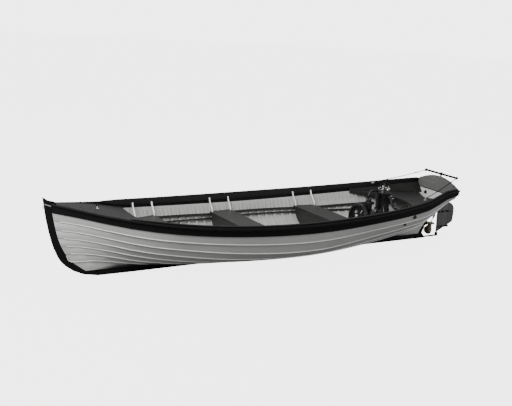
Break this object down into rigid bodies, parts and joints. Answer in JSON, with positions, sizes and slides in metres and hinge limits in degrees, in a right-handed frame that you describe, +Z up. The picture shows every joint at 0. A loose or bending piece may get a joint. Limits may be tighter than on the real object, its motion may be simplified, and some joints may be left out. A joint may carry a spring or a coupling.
{
  "type": "motor launch",
  "caption": "Open clinker-built motor launch with inboard engine, propeller aperture and a rudder steered by a yoke.",
  "frame": {"origin": "amidships on the centreline at the waterline, 0.215 m above the keel's underside", "axes": "+X toward the bow, +Y to port, +Z up"},
  "size_m": [5.201, 1.4586, 0.8014],
  "materials": {
    "hull_light_paint": "light grey gloss paint on planking",
    "sheer_dark_paint": "black gloss paint on timber",
    "inside_light_paint": "light grey paint inside",
    "seat_wood": "dark oiled boards",
    "deck_wood": "dark deck boards",
    "engine_black": "black enamelled castings",
    "bronze": "dulled bronze",
    "dark_iron": "black painted ironwork",
    "rudder_paint": "mid grey paint on boards"
  },
  "bodies": {
    "hull": {"keel": "sheer_dark_paint", "stem": "sheer_dark_paint", "sternpost": "sheer_dark_paint", "horn_timber": "sheer_dark_paint", "transom": "rudder_paint", "garboard_port": "hull_light_paint", "garboard_starboard": "hull_light_paint", "strake_2_port": "hull_light_paint", "strake_2_starboard": "hull_light_paint", "strake_3_port": "hull_light_paint", "strake_3_starboard": "hull_light_paint", "strake_4_port": "hull_light_paint", "strake_4_starboard": "hull_light_paint", "strake_5_port": "hull_light_paint", "strake_5_starboard": "hull_light_paint", "strake_6_port": "hull_light_paint", "strake_6_starboard": "hull_light_paint", "strake_7_port": "hull_light_paint", "strake_7_starboard": "hull_light_paint", "sheer_strake_port": "sheer_dark_paint", "sheer_strake_starboard": "sheer_dark_paint", "gunwale_port": "sheer_dark_paint", "gunwale_starboard": "sheer_dark_paint", "rub_rail_port": "sheer_dark_paint", "rub_rail_starboard": "sheer_dark_paint", "riser_port": "seat_wood", "riser_starboard": "seat_wood", "stringer_port": "seat_wood", "stringer_starboard": "seat_wood", "frames": "inside_light_paint", "floorboards": "inside_light_paint", "thwart_1": "seat_wood", "thwart_2": "seat_wood", "thwart_3": "seat_wood", "panel_2": "seat_wood", "panel_3": "seat_wood", "stern_seat": "seat_wood", "seat_back_port": "seat_wood", "seat_back_starboard": "seat_wood", "foredeck": "deck_wood", "engine_bed": "seat_wood", "crankcase": "engine_black", "cylinder": "engine_black", "carburettor": "engine_black", "water_pump": "engine_black", "exhaust_pipe": "engine_black", "exhaust_outlet": "dark_iron", "water_outlet": "dark_iron", "stern_bearing": "bronze", "heel_shoe": "dark_iron", "gudgeon_lower": "dark_iron", "gudgeon_upper": "dark_iron"},
    "drive": {"flywheel": "engine_black", "propeller_shaft": "bronze", "propeller": "bronze"},
    "rudder": {"rudder": "rudder_paint", "yoke": "dark_iron"}
  },
  "joints": [
    {"name": "drive_turn", "type": "hinge", "parent": "hull", "child": "drive", "pos_m": [-1.229, 0, 0.129], "axis": [0.9889, 0, 0.1487], "continuous": true},
    {"name": "rudder_turn", "type": "hinge", "parent": "hull", "child": "rudder", "pos_m": [-2.508, 0, -0.189], "axis": [0.0542, 0, 0.9985], "range_deg": [-35, 35]}
  ]
}
